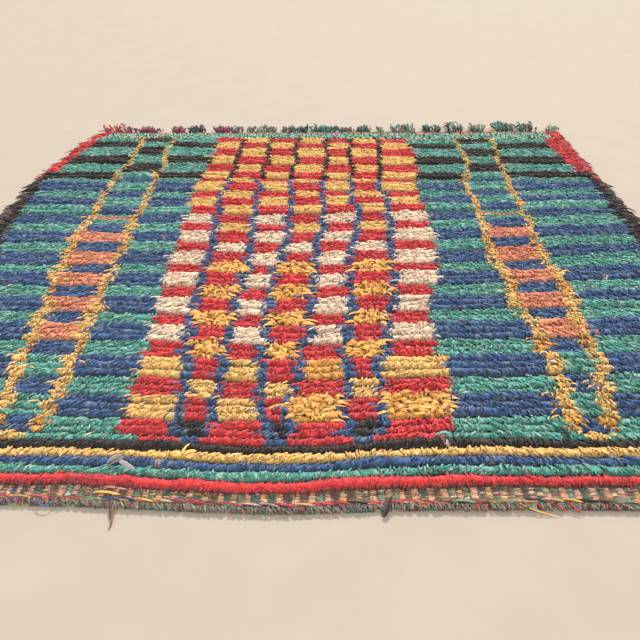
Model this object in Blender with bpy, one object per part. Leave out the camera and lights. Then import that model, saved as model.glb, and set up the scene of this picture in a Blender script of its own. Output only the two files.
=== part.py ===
"""A boucherouite rug lying flat: one woven cloth with rows of rag pile, shaggy locks along both sides,
tassels at the far end and a twined cord across each flatwoven end.

Metres, +Z up. The floor is z = 0 and the origin is the middle of the underside. +X runs along the rows
of pile, and +Y runs from the near end to the far end.
"""

import math
import random

import bmesh
import bpy
from mathutils import Vector

# Lengths along the rug, measured from the near hem
RUG_LENGTH = 1.88
PILE_START = 0.032
BORDER_ROWS, BORDER_PITCH = 5, 0.0208
FIELD_ROWS, FIELD_PITCH = 83, 0.0184
END_ROWS, END_PITCH = 2, 0.020
FAR_EDGE = 1.795
FAR_LINES = 4  # across the plain far end, close enough to follow the curve of the sides

# Heights above the floor
CLOTH_THICK = 0.0055
HEM_THICK = 0.010
PILE_VALLEY, PILE_CREST, END_CREST = 0.016, 0.0255, 0.017
CREST_AT = 0.38  # share of a row's depth from its near side
LUMP_HEIGHT, LUMP_SHIFT = 0.0022, 0.0025

# The cloth's two sides: distance from the near hem, x of the left side, x of the right side
SIDES = (
    (0.00, -0.812, 0.832),
    (0.50, -0.820, 0.840),
    (1.00, -0.816, 0.834),
    (1.25, -0.830, 0.846),
    (1.50, -0.802, 0.852),
    (1.80, -0.742, 0.858),
)
# How far the rows bow towards the near end: distance from the near hem, sag
BOW = ((0.00, 0.012), (0.15, 0.020), (0.60, 0.016), (1.40, 0.0))
BOW_MIDDLE, BOW_REACH = -0.07, 0.20
SLANT = 0.012  # how much nearer a row comes for each metre to the right

COLUMNS = 12  # lumps across a row
GAP = 0.0003  # between pieces that touch
CENTRING = Vector((-0.0180, 0.0040, 0.0))  # puts the middle of the whole outline, locks and all, at x = y = 0

# Locks along the sides
SIDE_LOCKS = 38
SIDE_STRIP_WIDTH, SIDE_STRIP_HEIGHT = 0.012, 0.018
SIDE_REACH = (0.016, 0.034)  # shortest and longest

# Tassels at the far end
TASSELS, STRANDS = 26, 3
TASSEL_STRIP_WIDTH, TASSEL_STRIP_HEIGHT = 0.008, 0.011
STRAND_GAP = 0.0022
TASSEL_SHARE = 0.72  # of the strip that the tassels take up
TASSEL_FAN = 0.28  # sideways, for each unit outwards
TASSEL_RISE = (0.010, 0.017)  # least and most height of the bend
LOOPED_FROM, LOOPED_RISE = 0.68, 0.010  # share of the end past which tassels stand higher, and how much

# Twined cords
CORD_RADIUS = 0.0032
TWIST_LENGTH = 0.036
CORD_NEAR, CORD_FAR = 0.0165, 1.785
CORD_INSET = 0.006  # from the cloth's sides

# A loose rag end caught in the border's blue and green rows
RAG_AT = (-0.285, 0.074)
RAG_LENGTH, RAG_WIDTH, RAG_THICK = 0.046, 0.015, 0.002
RAG_TURN = math.radians(-28)

chance = random.Random(41)


def smooth(table, at, column):
    """The table's column at a distance, eased between its rows and level past its ends."""
    for low, high in zip(table, table[1:]):
        if at <= high[0]:
            share = min(1.0, max(0.0, (at - low[0]) / (high[0] - low[0])))
            share *= share * (3 - 2 * share)
            return low[column] + (high[column] - low[column]) * share
    return table[-1][column]


def bow(x, along):
    """How far a row sags towards the near end at x."""
    return smooth(BOW, along, 1) * math.exp(-(((x - BOW_MIDDLE) / BOW_REACH) ** 2))


def on_rug(x, along, height=0.0):
    """The place of a point that lies at x, this far from the near hem, with the rows' bow and slant."""
    return Vector((x, along - bow(x, along) - SLANT * x - RUG_LENGTH / 2, height)) + CENTRING


def made(name, bm, colour, roughness):
    """Turns a bmesh into a named object with its own material."""
    bmesh.ops.recalc_face_normals(bm, faces=bm.faces)
    mesh = bpy.data.meshes.new(name)
    bm.to_mesh(mesh)
    bm.free()
    rug_object = bpy.data.objects.new(name, mesh)
    bpy.context.collection.objects.link(rug_object)
    paint(rug_object, colour, roughness)
    return rug_object


def paint(rug_object, colour, roughness):
    material = bpy.data.materials.new(rug_object.name)
    material.use_nodes = True
    shader = material.node_tree.nodes["Principled BSDF"]
    shader.inputs["Base Color"].default_value = (*colour, 1.0)
    shader.inputs["Roughness"].default_value = roughness
    shader.inputs["Metallic"].default_value = 0.0
    rug_object.data.materials.append(material)


def row_starts():
    """Where each row of pile begins, with its depth and crest height, from near to far."""
    along = PILE_START
    for count, pitch, crest in (
        (BORDER_ROWS, BORDER_PITCH, PILE_CREST),
        (FIELD_ROWS, FIELD_PITCH, PILE_CREST),
        (END_ROWS, END_PITCH, END_CREST),
    ):
        for _ in range(count):
            yield along, pitch, crest
            along += pitch


def cross_lines():
    """The lines of points across the cloth, near to far: distance from the hem, height, whether lumpy."""
    lines = [
        (0.000, HEM_THICK / 2, False),
        (0.005, HEM_THICK, False),
        (0.012, CLOTH_THICK, False),
        (PILE_START - 0.004, CLOTH_THICK, False),
    ]
    for along, pitch, crest in row_starts():
        lines.append((along, min(PILE_VALLEY, crest - 0.004), False))
        lines.append((along + CREST_AT * pitch, crest, True))
        end = along + pitch
    lines += [(end + (FAR_EDGE - end) * i / FAR_LINES, CLOTH_THICK, False) for i in range(FAR_LINES + 1)]
    return lines


def rug_body():
    """The cloth and its pile: a grid raised into lumpy rows, closed by a wall down to a flat underside.

    Returns the object and the crest heights by row, for what rests on the pile."""
    lines = cross_lines()
    bm = bmesh.new()
    bmesh.ops.create_grid(bm, x_segments=COLUMNS, y_segments=len(lines) - 1, size=1.0)
    crests = {}
    for vert in sorted(bm.verts, key=lambda v: (v.co.y, v.co.x)):
        share = (vert.co.x + 1) / 2
        along, height, lumpy = lines[round((vert.co.y + 1) / 2 * (len(lines) - 1))]
        x = smooth(SIDES, along, 1) * (1 - share) + smooth(SIDES, along, 2) * share
        if lumpy:
            height += chance.uniform(-LUMP_HEIGHT, LUMP_HEIGHT)
            crests.setdefault(along, []).append((x, height))
            if 0.01 < share < 0.99:
                along += chance.uniform(-LUMP_SHIFT, LUMP_SHIFT)
        vert.co = on_rug(x, along, height)
    rim = [edge for edge in bm.edges if edge.is_boundary]
    wall = bmesh.ops.extrude_edge_only(bm, edges=rim)["geom"]
    for item in wall:
        if isinstance(item, bmesh.types.BMVert):
            item.co.z = 0.0
    foot = [edge for edge in bm.edges if edge.is_boundary]
    bmesh.ops.contextual_create(bm, geom=foot)
    return made("rug_body", bm, (0.60, 0.08, 0.09), 0.9), crests


def strip_with_locks(name, stations, width, height, drawn, colour):
    """A narrow strip with locks drawn out of some of its outer faces.

    stations are (inner point, outward direction) pairs; drawn maps a segment's number to its lock, a list
    of (move, scale) steps."""
    bm = bmesh.new()
    segments = len(stations) - 1
    bmesh.ops.create_grid(bm, x_segments=1, y_segments=segments, size=1.0)
    for vert in bm.verts:
        point, outward = stations[round((vert.co.y + 1) / 2 * segments)]
        vert.co = point + outward * (GAP + width * (vert.co.x + 1) / 2)
    top = bmesh.ops.extrude_face_region(bm, geom=bm.faces[:])["geom"]
    bmesh.ops.translate(
        bm, verts=[v for v in top if isinstance(v, bmesh.types.BMVert)], vec=(0, 0, height)
    )
    bmesh.ops.recalc_face_normals(bm, faces=bm.faces)
    for segment, steps in drawn.items():
        middle = (stations[segment][0] + stations[segment + 1][0]) / 2
        outward = stations[segment][1]
        target = middle + outward * (GAP + width) + Vector((0, 0, height / 2))
        face = min(bm.faces, key=lambda f: (f.calc_center_median() - target).length)
        for move, scale in steps:
            face = bmesh.ops.extrude_discrete_faces(bm, faces=[face])["faces"][0]
            centre = face.calc_center_median()
            for vert in face.verts:
                vert.co = centre + (vert.co - centre) * scale + move
    return made(name, bm, colour, 0.95)


def side_locks(name, column, outward, colour):
    """The shaggy selvedge along one side, which droops to the floor past the pile."""
    start, end = PILE_START, FAR_EDGE - 0.02
    segments = 2 * SIDE_LOCKS + 1
    stations = []
    for i in range(segments + 1):
        along = start + (end - start) * i / segments
        stations.append((on_rug(smooth(SIDES, along, column), along), outward))
    drawn = {}
    for i in range(SIDE_LOCKS):
        reach = chance.uniform(*SIDE_REACH)
        drift = chance.uniform(-0.25, 0.10) * reach
        drawn[2 * i + 1] = [
            (outward * reach * 0.55 + Vector((0, drift * 0.4, 0.001)), 0.80),
            (outward * reach * 0.45 + Vector((0, drift * 0.6, -0.0065)), 0.42),
        ]
    return strip_with_locks(
        name, stations, SIDE_STRIP_WIDTH, SIDE_STRIP_HEIGHT, drawn, colour
    )


def far_tassels():
    """Tassels in threes of strands, fanned out past the far end and resting on the floor."""
    left = smooth(SIDES, FAR_EDGE, 1) + CORD_INSET
    right = smooth(SIDES, FAR_EDGE, 2) - CORD_INSET
    pitch = (right - left) / TASSELS
    strand = (pitch * TASSEL_SHARE - (STRANDS - 1) * STRAND_GAP) / STRANDS
    reach_left = RUG_LENGTH - FAR_EDGE - GAP - TASSEL_STRIP_WIDTH
    outward = Vector((0, 1, 0))
    edges, drawn = [left], {}
    for tassel in range(TASSELS):
        long = 1.0 if tassel == TASSELS // 2 else chance.uniform(0.66, 0.98)
        rise = chance.uniform(*TASSEL_RISE) + LOOPED_RISE * (tassel > LOOPED_FROM * TASSELS)
        edges.append(edges[-1] + pitch * (1 - TASSEL_SHARE) / 2)
        for i in range(STRANDS):
            fan = (i - (STRANDS - 1) / 2) * TASSEL_FAN
            reach = reach_left * (long if i == 1 else long * chance.uniform(0.8, 0.95))
            drawn[len(edges) - 1] = [
                (Vector((fan * reach * 0.5, reach * 0.5, rise)), 1.25),
                (Vector((fan * reach * 0.5, reach * 0.5, -rise - 0.0025)), 0.40),
            ]
            edges.append(edges[-1] + strand)
            if i < STRANDS - 1:
                edges.append(edges[-1] + STRAND_GAP)
        edges.append(edges[-1] + pitch * (1 - TASSEL_SHARE) / 2)
    stations = [(on_rug(x, FAR_EDGE), outward) for x in edges]
    return strip_with_locks(
        "far_tassels", stations, TASSEL_STRIP_WIDTH, TASSEL_STRIP_HEIGHT, drawn, (0.06, 0.22, 0.18)
    )


def twined_cord(name, along, colour):
    """A two-strand twined cord across a flatwoven end: a square tube that swells at each half turn."""
    left = smooth(SIDES, along, 1) + CORD_INSET
    right = smooth(SIDES, along, 2) - CORD_INSET
    steps = 2 * round((right - left) / TWIST_LENGTH)
    curve = bpy.data.curves.new(name, "CURVE")
    curve.dimensions = "3D"
    curve.bevel_depth = CORD_RADIUS
    curve.bevel_resolution = 0
    curve.use_fill_caps = True
    spline = curve.splines.new("POLY")
    spline.points.add(steps)
    for i, point in enumerate(spline.points):
        x = left + (right - left) * i / steps
        point.co = (*on_rug(x, along, CLOTH_THICK + GAP + CORD_RADIUS), 1.0)
        point.radius = 1.0 if i % 2 else 0.72
    cord = bpy.data.objects.new(name, curve)
    bpy.context.collection.objects.link(cord)
    paint(cord, colour, 0.8)
    return cord


def crest_over(crests, low, high, start, end):
    """The highest point of the crests between two distances from the hem and two x."""
    found = []
    for along, points in crests.items():
        if not start <= along <= end:
            continue
        for (x0, z0), (x1, z1) in zip(points, points[1:]):
            for x in (low, high, x0, x1):
                if max(low, x0) <= x <= min(high, x1):
                    found.append(z0 + (z1 - z0) * (x - x0) / (x1 - x0))
    return max(found)


def grey_rag(crests):
    """A loose end of satin rag lying over two rows of the border."""
    x, along = RAG_AT
    half = RAG_LENGTH / 2
    rest = crest_over(crests, x - half, x + half, along - half, along + half)
    bm = bmesh.new()
    bmesh.ops.create_grid(bm, x_segments=6, y_segments=2, size=1.0)
    for vert in bm.verts:
        fold = 0.004 * (1 - abs(vert.co.y)) * (0.4 + 0.6 * abs(vert.co.x))
        narrow = 1 - 0.35 * abs(vert.co.x) ** 3
        vert.co = Vector((vert.co.x * half, vert.co.y * narrow * RAG_WIDTH / 2, fold))
    top = bmesh.ops.extrude_face_region(bm, geom=bm.faces[:])["geom"]
    raised = [v for v in top if isinstance(v, bmesh.types.BMVert)]
    bmesh.ops.translate(bm, verts=raised, vec=(0, 0, RAG_THICK))
    rag = made("grey_rag", bm, (0.42, 0.40, 0.45), 0.45)
    rag.location = on_rug(x, along, rest + GAP)
    rag.rotation_euler.z = RAG_TURN
    return rag


def build():
    for old in list(bpy.data.objects):
        bpy.data.objects.remove(old)
    _, crests = rug_body()
    side_locks("left_edge_locks", 1, Vector((-1, 0, 0)), (0.035, 0.025, 0.028))
    side_locks("right_edge_locks", 2, Vector((1, 0, 0)), (0.035, 0.025, 0.028))
    far_tassels()
    twined_cord("near_twined_cord", CORD_NEAR, (0.70, 0.42, 0.12))
    twined_cord("far_twined_cord", CORD_FAR, (0.65, 0.22, 0.12))
    grey_rag(crests)


build()
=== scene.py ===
import math
from functools import partial

import bmesh
import bpy
import numpy as np
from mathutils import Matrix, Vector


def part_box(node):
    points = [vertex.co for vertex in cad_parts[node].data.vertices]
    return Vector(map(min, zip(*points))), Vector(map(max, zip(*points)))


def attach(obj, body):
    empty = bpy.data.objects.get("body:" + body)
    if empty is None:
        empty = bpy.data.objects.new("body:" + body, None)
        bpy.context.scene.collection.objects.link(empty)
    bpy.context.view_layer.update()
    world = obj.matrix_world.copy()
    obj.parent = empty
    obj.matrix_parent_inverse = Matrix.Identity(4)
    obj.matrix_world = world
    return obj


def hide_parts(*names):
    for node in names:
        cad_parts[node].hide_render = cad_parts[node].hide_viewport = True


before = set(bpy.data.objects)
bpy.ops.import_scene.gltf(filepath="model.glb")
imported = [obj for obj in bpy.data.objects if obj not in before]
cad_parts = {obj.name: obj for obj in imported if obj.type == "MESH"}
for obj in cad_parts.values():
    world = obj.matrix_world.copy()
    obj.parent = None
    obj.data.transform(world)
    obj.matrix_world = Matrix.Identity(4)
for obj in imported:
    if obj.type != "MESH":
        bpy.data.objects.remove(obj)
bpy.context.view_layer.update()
print("frame loaded, with nodes", sorted(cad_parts))

# Where things lie: x runs along the rows of knots, along is the distance from the near hem, in metres

rug = {
    "length": 1.88,
    "centring": (-0.0180, 0.0040),
    "slantAt": (0.90, 1.80),
    "slant": (0.012, -0.012),  # how much nearer a row comes for each metre to the right
    "bowAt": (0.00, 0.15, 0.60, 1.40),
    "bow": (0.012, 0.020, 0.016, 0.0),  # how far the rows sag towards the near end
    "bowMiddle": -0.07,
    "bowReach": 0.20,
    "sideAt": (0.00, 0.50, 1.00, 1.25, 1.50, 1.80),
    "leftSide": (-0.812, -0.820, -0.816, -0.830, -0.802, -0.742),
    "rightSide": (0.832, 0.840, 0.834, 0.846, 0.852, 0.858),
    "clothEnd": 1.789,
    "clothThick": 0.0055,
    "seed": 7,
}
chance = np.random.default_rng(rug["seed"])
uniform = chance.uniform


def jitter(spread, count=None):
    return chance.normal(0, spread, count)


def eased(at, stations, values):
    # the value at a distance, eased between the stations and level past the ends
    stations, values = np.array(stations), np.array(values)
    at = np.clip(at, stations[0], stations[-1])
    low = np.clip(np.searchsorted(stations, at, side="right") - 1, 0, len(stations) - 2)
    share = (at - stations[low]) / (stations[low + 1] - stations[low])
    share = share * share * (3 - 2 * share)
    return values[low] + (values[low + 1] - values[low]) * share


def vectors(*axes):
    return np.stack(np.broadcast_arrays(*axes), axis=-1)


def place(x, along, z):
    # points in the row frame, one a line
    sag = eased(along, rug["bowAt"], rug["bow"]) * np.exp(-(((x - rug["bowMiddle"]) / rug["bowReach"]) ** 2))
    y = along - sag - eased(along, rug["slantAt"], rug["slant"]) * x - rug["length"] / 2
    return vectors(x + rug["centring"][0], y + rug["centring"][1], z)


def curve(*spots):
    # the four Bezier points of each lock, from places in the row frame
    return np.stack([place(*spot) for spot in spots], axis=-2)


def leftSide(along):
    return eased(along, rug["sideAt"], rug["leftSide"])


def rightSide(along):
    return eased(along, rug["sideAt"], rug["rightSide"])


def acrossRug(along, margin, spacing):
    return np.arange(leftSide(along) + margin, rightSide(along) - margin, spacing)


# Colours as the eye sees them, from 0 to 255

dyes = {
    "red": (216, 49, 53), "deepRed": (160, 34, 50), "rose": (196, 74, 82), "maroon": (96, 36, 52),
    "yellow": (255, 204, 118), "gold": (240, 172, 78), "ochre": (222, 168, 84),
    "blue": (55, 91, 140), "navy": (40, 50, 98), "purple": (86, 44, 78), "magenta": (150, 42, 78),
    "green": (86, 162, 147), "deepGreen": (34, 100, 84), "teal": (40, 112, 112), "mint": (150, 206, 184),
    "moss": (128, 132, 96), "sage": (122, 156, 134),
    "black": (38, 26, 26), "brown": (114, 80, 60), "grey": (128, 122, 118),
    "cream": (255, 226, 196), "beige": (226, 178, 154), "orange": (228, 143, 109), "pink": (222, 160, 148),
}


def linear(colour):
    # from eye values to light
    share = np.asarray(colour, float) / 255
    return np.where(share <= 0.04045, share / 12.92, ((share + 0.055) / 1.055) ** 2.4)


def opaque(colour):
    return (*linear(colour), 1.0)


def dyed(names, spread=0.10, hue=0.035):
    # a light colour for each name, each a little lighter, darker, warmer or cooler
    base = np.array([linear(dyes[name]) for name in names]).reshape(-1, 3)
    shade = jitter(spread, (len(base), 1))
    return withinRange(base * np.exp(shade + jitter(hue, base.shape)))


def withinRange(colours):
    # bright colours are made darker as a whole, so that their hue stays
    peak = colours.max(axis=1, keepdims=True)
    return np.maximum(colours * np.minimum(1, 0.92 / peak), 0.002)


def picked(palette, count=None):
    # dyes by chance from a palette's words
    return chance.choice(palette.split(), count)


# Meshes from arrays: every part brings its points, faces, dyes and two sets of texture places

def lockTemplate(around, steps):
    # a closed ball whose poles become a lock's root and tip
    bm = bmesh.new()
    bmesh.ops.create_uvsphere(bm, u_segments=around, v_segments=steps, radius=1.0)
    bm.verts.index_update()
    share = np.array([math.acos(max(-1.0, min(1.0, -v.co.z))) / math.pi for v in bm.verts])
    turn = np.array([(math.atan2(v.co.y, v.co.x) / math.tau + 0.25 + 1e-6) % 1.0 for v in bm.verts])
    pole = (share < 0.01) | (share > 0.99)
    corners, sizes, across = [], [], []
    for face in bm.faces:
        ids = [v.index for v in face.verts]
        turns = [turn[i] for i in ids if not pole[i]]
        if max(turns) - min(turns) > 0.5:
            turns = [value + 1.0 if value < 0.5 else value for value in turns]
        middle = sum(turns) / len(turns)
        rest = iter(turns)
        corners += ids
        sizes.append(len(ids))
        across += [middle if pole[i] else next(rest) for i in ids]
    bm.free()
    return share, turn, np.array(corners), sizes, np.array(across)


def unitRows(rows):
    return rows / (np.linalg.norm(rows, axis=-1, keepdims=True) + 1e-9)


def columns(values):
    return np.asarray(values).reshape(-1, 1, 1)


def joined(parts):
    # the same array of every part, end to end
    return [np.concatenate(each) for each in zip(*parts)]


def lockPart(bends, widths, thicks, flats, colours, around=4, steps=5, profile=(0.8, 1.0), twist=0.0):
    # bends holds four Bezier points for each lock; flats is the way each lock's width points
    share, turn, corners, sizes, across = lockTemplate(around, steps)
    count, points = len(bends), len(share)
    t = share[None, :, None]
    p0, p1, p2, p3 = (bends[:, i][:, None, :] for i in range(4))
    flats = np.atleast_2d(flats)[:, None, :]
    centre = (1 - t) ** 3 * p0 + 3 * (1 - t) ** 2 * t * p1 + 3 * (1 - t) * t * t * p2 + t ** 3 * p3
    tangent = unitRows((1 - t) ** 2 * (p1 - p0) + 2 * (1 - t) * t * (p2 - p1) + t * t * (p3 - p2))
    side = unitRows(flats - tangent * (flats * tangent).sum(axis=2, keepdims=True))
    normal = np.cross(tangent, side)
    turned = columns(twist) * t
    cosine, sine = np.cos(turned), np.sin(turned)
    side, normal = side * cosine + normal * sine, normal * cosine - side * sine
    angle = (turn - 0.25) * math.tau
    reach = np.interp(share, np.linspace(0, 1, len(profile) + 2), (0.0, *profile, 0.0))
    broad = (np.cos(angle) * reach)[None, :, None] * columns(widths)
    deep = (np.sin(angle) * reach)[None, :, None] * columns(thicks)
    lengthwise = share[corners]
    grid = math.ceil(math.sqrt(count))  # each lock has its own square of the baked picture
    lock = np.arange(count)[:, None]
    bakeU = (lock % grid + 0.06 + 0.88 * np.clip(across, 0, 1.25) / 1.25) / grid
    bakeV = (lock // grid + 0.06 + 0.88 * lengthwise) / grid
    shifts = np.random.default_rng(count).uniform(0, 60, (count, 2))
    strand = (across[None, :] + shifts[:, :1], lengthwise[None, :] + shifts[:, 1:].round())
    return {
        "spots": (centre + side * broad + normal * deep).reshape(-1, 3),
        "corners": (corners[None, :] + points * lock).ravel(),
        "sizes": np.tile(sizes, count),
        "dyes": np.repeat(colours, points, axis=0),
        "bake": np.stack([bakeU, bakeV], axis=-1).reshape(-1, 2),
        "strand": np.stack(strand, axis=-1).reshape(-1, 2),
    }


def tubePart(rings, colours, shelf, shelves):
    # a closed tube through rings of points, with a dye for each, on its own shelf of the baked picture
    long, around = rings.shape[:2]
    i, j = np.meshgrid(np.arange(long - 1), np.arange(around), indexing="ij")
    i, j = np.stack([i, i + 1, i + 1, i], axis=-1), np.stack([j, j, j + 1, j + 1], axis=-1)
    cap = np.arange(around)
    lengthwise = np.concatenate([i.ravel() / (long - 1), np.repeat([0.0, 1.0], around)])
    across = np.concatenate([j.ravel(), cap[::-1], cap]) / around
    reach = np.linalg.norm(rings[-1].mean(axis=0) - rings[0].mean(axis=0))
    return {
        "spots": rings.reshape(-1, 3),
        "corners": np.concatenate([(i * around + j % around).ravel(), cap[::-1], (long - 1) * around + cap]),
        "sizes": np.repeat([4, around], [i.size // 4, 2]),
        "dyes": colours.reshape(-1, 3),
        "bake": np.stack([lengthwise, (shelf + 0.04 + 0.92 * across) / shelves], axis=-1),
        "strand": np.stack([lengthwise * reach / 0.010 + 7.3 * shelf, 0.15 + 0.7 * across], axis=-1),
    }


def addObject(name, data):
    thing = bpy.data.objects.new(name, data)
    bpy.context.collection.objects.link(thing)
    return thing


def objectFrom(bm, name):
    mesh = bpy.data.meshes.new(name)
    bm.to_mesh(mesh)
    bm.free()
    return addObject(name, mesh)


def fill(items, key, values, kind=np.float32):
    items.foreach_set(key, np.asarray(values).astype(kind).ravel())


def joinedPiece(name, parts, shelves=((0.0, 1.0),)):
    # one object from many parts; shelves are the low and high edge of each part in the baked picture
    def gathered(key):
        return np.concatenate([part[key] for part in parts])

    starts = np.cumsum([0] + [len(part["spots"]) for part in parts])
    corners = np.concatenate([part["corners"] + start for part, start in zip(parts, starts)])
    sizes = gathered("sizes")
    mesh = bpy.data.meshes.new(name)
    mesh.vertices.add(starts[-1])
    fill(mesh.vertices, "co", gathered("spots"))
    mesh.loops.add(len(corners))
    fill(mesh.loops, "vertex_index", corners, np.int32)
    mesh.polygons.add(len(sizes))
    fill(mesh.polygons, "loop_start", np.cumsum(sizes) - sizes, np.int32)
    mesh.update(calc_edges=True)
    fill(mesh.polygons, "use_smooth", np.ones(len(sizes)), bool)
    baked = [part["bake"] * (1, high - low) + (0, low) for part, (low, high) in zip(parts, shelves)]
    fill(mesh.uv_layers.new(name="OFBake").data, "uv", np.concatenate(baked))
    fill(mesh.uv_layers.new(name="strand").data, "uv", gathered("strand"))
    dye = mesh.attributes.new("dye", "FLOAT_COLOR", "POINT")
    fill(dye.data, "color", np.insert(gathered("dyes"), 3, 1.0, axis=1))
    return addObject(name, mesh)


# Shader groups and materials

def newGroup(name, inputs, outputs):
    # a shader group, the outputs of its input node, and its output node
    group = bpy.data.node_groups.new(name, "ShaderNodeTree")
    for label, kind, value in inputs:
        socket = group.interface.new_socket(label, in_out="INPUT", socket_type="NodeSocket" + kind)
        if value is not None:
            socket.default_value = value
    for label, kind in outputs:
        group.interface.new_socket(label, in_out="OUTPUT", socket_type="NodeSocket" + kind)
    return group, group.nodes.new("NodeGroupInput").outputs, group.nodes.new("NodeGroupOutput")


def feed(tree, value, socket):
    # a link from another socket, or a fixed value
    if isinstance(value, bpy.types.NodeSocket):
        tree.links.new(value, socket)
    else:
        socket.default_value = value


def give(tree, node, **values):
    # a node's settings and inputs by name
    for key, value in values.items():
        if key in node.bl_rna.properties:
            setattr(node, key, value)
        else:
            feed(tree, value, node.inputs[key.replace("_", " ")])
    return node


def addNode(tree, kind, **values):
    return give(tree, tree.nodes.new("ShaderNode" + kind), **values)


def stretched(tree, vector, scale):
    # a vector scaled by its own amount along each axis
    return addNode(tree, "Mapping", Vector=vector, Scale=scale).outputs["Vector"]


def scaled(tree, vector, amount):
    return addNode(tree, "VectorMath", operation="SCALE", Vector=vector, Scale=amount).outputs["Vector"]


def separated(tree, vector):
    return addNode(tree, "SeparateXYZ", Vector=vector).outputs


def noise(tree, vector, scale, detail=3.0, roughness=0.6):
    node = addNode(tree, "TexNoise", Vector=vector, Scale=scale, Detail=detail, Roughness=roughness)
    return node.outputs["Fac"]


def spreadOut(tree, value, low, high, bottom=0.0, top=1.0):
    node = addNode(tree, "MapRange", Value=value, From_Min=low, From_Max=high, To_Min=bottom, To_Max=top)
    return node.outputs["Result"]


def calc(tree, operation, *values):
    node = addNode(tree, "Math", operation=operation)
    for socket, value in zip(node.inputs, values):
        feed(tree, value, socket)
    return node.outputs[0]


def operations(tree):
    return (partial(calc, tree, kind) for kind in ("ADD", "SUBTRACT", "MULTIPLY"))


def mixed(tree, share, first, second, blend="MIX"):
    # colours mixed by a share, each a socket or a colour
    node = addNode(tree, "Mix", data_type="RGBA", blend_type=blend)
    for number, value in ((0, share), (6, first), (7, second)):
        feed(tree, value, node.inputs[number])
    return node.outputs[2]


def fibreGroup():
    # strands of fibre that run along a lock: lighter and darker threads, painted shade at the root and
    # painted shade at the tip
    group, given, leave = newGroup(
        "Fibres",
        (
            ("Dye", "Color", (0.5, 0.5, 0.5, 1)),
            ("Strand", "Vector", None),
            ("Contrast", "Float", 0.5),
            ("Root shade", "Float", 0.5),
            ("Tip shade", "Float", 0.0),
        ),
        (("Colour", "Color"), ("Height", "Float"), ("Rough", "Float")),
    )
    plus, minus, times = operations(group)
    threads = noise(group, stretched(group, given["Strand"], (9.0, 1.7, 1.0)), 1.0, 4.0, 0.65)
    fuzz = noise(group, stretched(group, given["Strand"], (26.0, 7.0, 1.0)), 1.0, 2.0, 0.7)
    height = plus(threads, times(fuzz, 0.45))
    gain = plus(times(minus(spreadOut(group, height, 0.45, 1.0), 0.5), given["Contrast"]), 1.0)
    lengthwise = calc(group, "FRACT", separated(group, given["Strand"])["Y"])
    # painted shade: darker towards the root, buried among the other locks, and towards the tip, for the dark
    # line where one row meets the next
    root = times(minus(1.0, spreadOut(group, lengthwise, 0.05, 0.55)), given["Root shade"])
    tip = times(spreadOut(group, lengthwise, 0.66, 0.96), given["Tip shade"])
    shade = times(times(gain, minus(1.0, root)), minus(1.0, tip))
    worn = times(spreadOut(group, threads, 0.55, 0.8), 0.04)
    colour = mixed(group, worn, scaled(group, given["Dye"], shade), (0.80, 0.72, 0.66, 1.0))
    give(group, leave, Colour=colour, Height=height, Rough=spreadOut(group, height, 0.4, 1.1, 0.96, 0.80))
    return group


def weaveGroup():
    # weft-faced plain weave: ribs along y that each pick passes over and under
    group, given, leave = newGroup(
        "Plain weave",
        (("Place", "Vector", None), ("Warp pitch", "Float", 0.006), ("Weft pitch", "Float", 0.0024)),
        (("Height", "Float"), ("Pick", "Float")),
    )
    plus, _, times = operations(group)

    def wave(turn):
        return calc(group, "ABSOLUTE", calc(group, "SINE", turn))

    wobble = noise(group, given["Place"], 60.0, 2.0)
    at = separated(group, given["Place"])
    warp = plus(calc(group, "DIVIDE", at["X"], given["Warp pitch"]), times(wobble, 0.5))
    pick = plus(calc(group, "DIVIDE", at["Y"], given["Weft pitch"]), times(wobble, 0.9))
    number = calc(group, "FLOOR", pick)
    hump = wave(plus(times(warp, math.pi), times(number, math.pi)))
    thread = calc(group, "POWER", wave(times(pick, math.pi)), 0.5)
    give(group, leave, Height=times(thread, plus(times(hump, 0.6), 0.4)), Pick=number)
    return group


def tuftGroup():
    # short matted tufts, a few millimetres across: each a little lighter or darker at random, with painted
    # shade in the gaps between
    group, given, leave = newGroup(
        "Tufts",
        (("Place", "Vector", None), ("Contrast", "Float", 0.5)),
        (("Shade", "Float"), ("Height", "Float")),
    )
    plus, minus, times = operations(group)
    wobble = addNode(group, "TexNoise", Vector=given["Place"], Scale=90.0, Detail=2.0)
    bent = addNode(group, "VectorMath", operation="ADD", Vector=given["Place"])
    feed(group, scaled(group, wobble.outputs["Color"], 0.010), bent.inputs[1])
    spots = stretched(group, bent.outputs["Vector"], (300.0, 210.0, 210.0))
    cells = addNode(group, "TexVoronoi", Vector=spots, Scale=1.0).outputs
    gap = spreadOut(group, cells["Distance"], 0.30, 0.85)
    own = times(minus(separated(group, cells["Color"])["X"], 0.5), 0.55)
    # painted shade: darker in the gaps between tufts, added to each tuft's own random tone
    shade = plus(minus(own, times(gap, 0.60)), 0.17)
    give(group, leave, Shade=plus(times(shade, given["Contrast"]), 1.0), Height=minus(1.0, gap))
    return group


fibres = fibreGroup()
tufts = tuftGroup()
plainWeave = weaveGroup()


def cloth(name, roughness=0.9, sheen=0.25, gloss=0.25):
    material = bpy.data.materials.new(name)
    material.use_nodes = True
    tree = material.node_tree
    shader = tree.nodes["Principled BSDF"]
    give(tree, shader, Roughness=roughness, Specular_IOR_Level=gloss)
    give(tree, shader, Sheen_Weight=sheen, Sheen_Roughness=0.55)
    return material, tree, shader


def raised(tree, height, distance):
    return addNode(tree, "Bump", Strength=1.0, Distance=distance, Height=height).outputs["Normal"]


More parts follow.
